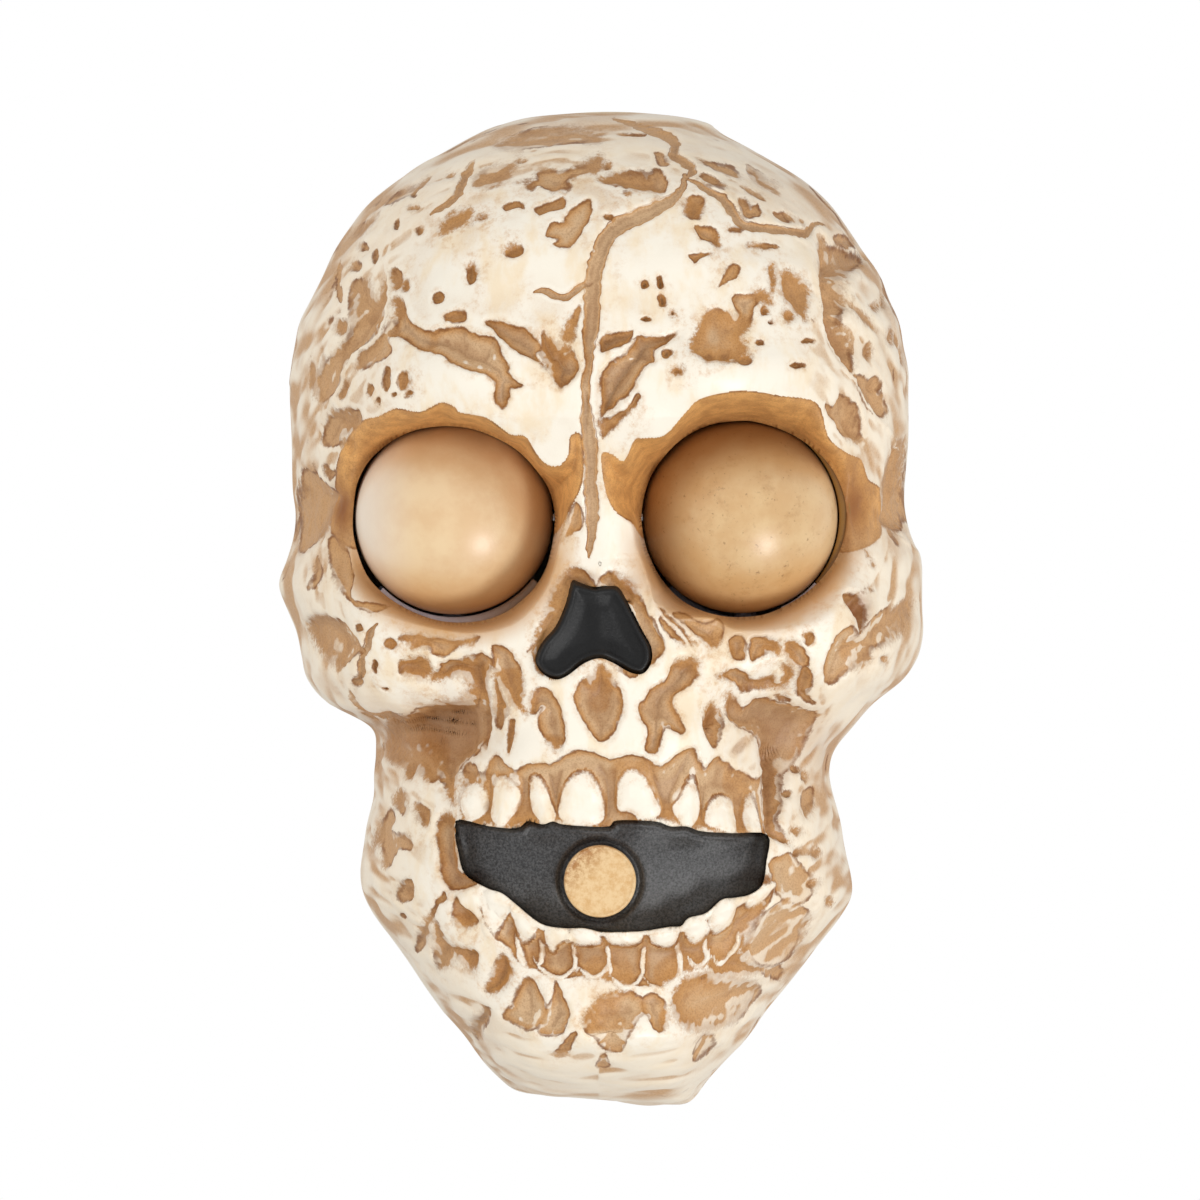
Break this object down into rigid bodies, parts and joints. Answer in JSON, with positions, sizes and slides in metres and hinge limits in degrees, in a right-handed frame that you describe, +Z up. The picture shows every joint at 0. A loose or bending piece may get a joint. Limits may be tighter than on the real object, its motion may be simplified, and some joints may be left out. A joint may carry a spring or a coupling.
{
  "type": "skull doorbell",
  "caption": "Wall-hung skull doorbell with turning eyelids over its eyeballs, a push button in the open mouth, and a battery bay behind.",
  "frame": {"origin": "on the wall plane behind the skull, in the middle of the rear cover's width and half way up the skull", "axes": "+X to the right as seen from the front, +Y into the wall, +Z up to the crown"},
  "size_m": [0.1414, 0.0741, 0.22],
  "materials": {
    "bone": "cream with brown antique wash, satin",
    "lid_tan": "satin",
    "insert_black": "glossy with a fine grain",
    "cover_tan": "matt",
    "chassis_pale": "satin",
    "eye_white": "gloss",
    "iris_amber": "gloss",
    "gear_white": "satin",
    "black_plastic": "satin",
    "steel": "bright",
    "brass": "bright",
    "board_green": "satin",
    "cone_paper": "matt",
    "cell_wrap": "gloss",
    "lead_red": "satin"
  },
  "bodies": {
    "case": {"skull_shell": "bone", "nose_insert": "insert_black", "mouth_insert": "insert_black", "rear_cover": "cover_tan", "eye_chassis": "chassis_pale", "left_eyeball": "eye_white", "right_eyeball": "eye_white", "left_iris": "iris_amber", "right_iris": "iris_amber", "button_switch": "black_plastic", "power_switch_body": "black_plastic", "board_chip": "black_plastic", "board_capacitor": "black_plastic", "case_screw_1": "steel", "case_screw_2": "steel", "case_screw_3": "steel", "case_screw_4": "steel", "idler_pin": "steel", "lid_motor": "steel", "chassis_screw_1": "steel", "chassis_screw_2": "steel", "chassis_screw_3": "steel", "button_spring": "steel", "button_screw_1": "steel", "button_screw_2": "steel", "positive_contact": "steel", "negative_contact": "steel", "left_bridge_contact": "steel", "right_bridge_contact": "steel", "board_screw_1": "steel", "board_screw_2": "steel", "speaker_frame": "steel", "speaker_screw_1": "steel", "speaker_screw_2": "steel", "main_board": "board_green", "button_board": "board_green", "speaker_cone": "cone_paper", "battery_1": "cell_wrap", "battery_2": "cell_wrap", "battery_3": "cell_wrap", "battery_lead": "lead_red", "speaker_lead": "lead_red", "motor_lead": "lead_red", "button_lead": "lead_red"},
    "eyelids": {"left_eyelid": "lid_tan", "right_eyelid": "lid_tan", "lid_axle": "steel", "lid_gear": "gear_white"},
    "idler": {"idler_gear": "gear_white"},
    "pinion": {"motor_pinion": "brass"},
    "button": {"button_cap": "lid_tan"},
    "switch_knob": {"power_switch_knob": "black_plastic"},
    "battery_cover": {"battery_door": "cover_tan", "door_screw": "steel"}
  },
  "joints": [
    {"name": "eyelids_turn", "type": "hinge", "parent": "case", "child": "eyelids", "pos_m": [0, -0.036, 0.0202], "axis": [-1, 0, 0], "range_deg": [0, 95]},
    {"name": "idler_turn", "type": "hinge", "parent": "case", "child": "idler", "pos_m": [0, -0.036, 0.0352], "axis": [1, 0, 0], "range_deg": [0, 190]},
    {"name": "pinion_turn", "type": "hinge", "parent": "case", "child": "pinion", "pos_m": [0, -0.036, 0.0527], "axis": [-1, 0, 0], "range_deg": [0, 475]},
    {"name": "button_push", "type": "slide", "parent": "case", "child": "button", "axis": [0, 1, 0], "range_m": [0, 0.0022], "stiffness_N_per_m": 300, "springref_m": -0.002, "deforming": ["button_spring"]},
    {"name": "power_switch_slide", "type": "slide", "parent": "case", "child": "switch_knob", "axis": [1, 0, 0], "range_m": [0, 0.004]},
    {"name": "battery_door_off", "type": "slide", "parent": "case", "child": "battery_cover", "axis": [0, 1, 0], "range_m": [0, 0.02]}
  ],
  "couplings": [
    {"joint": "idler_turn", "follows": "eyelids_turn", "ratio": 2},
    {"joint": "pinion_turn", "follows": "eyelids_turn", "ratio": 5}
  ]
}
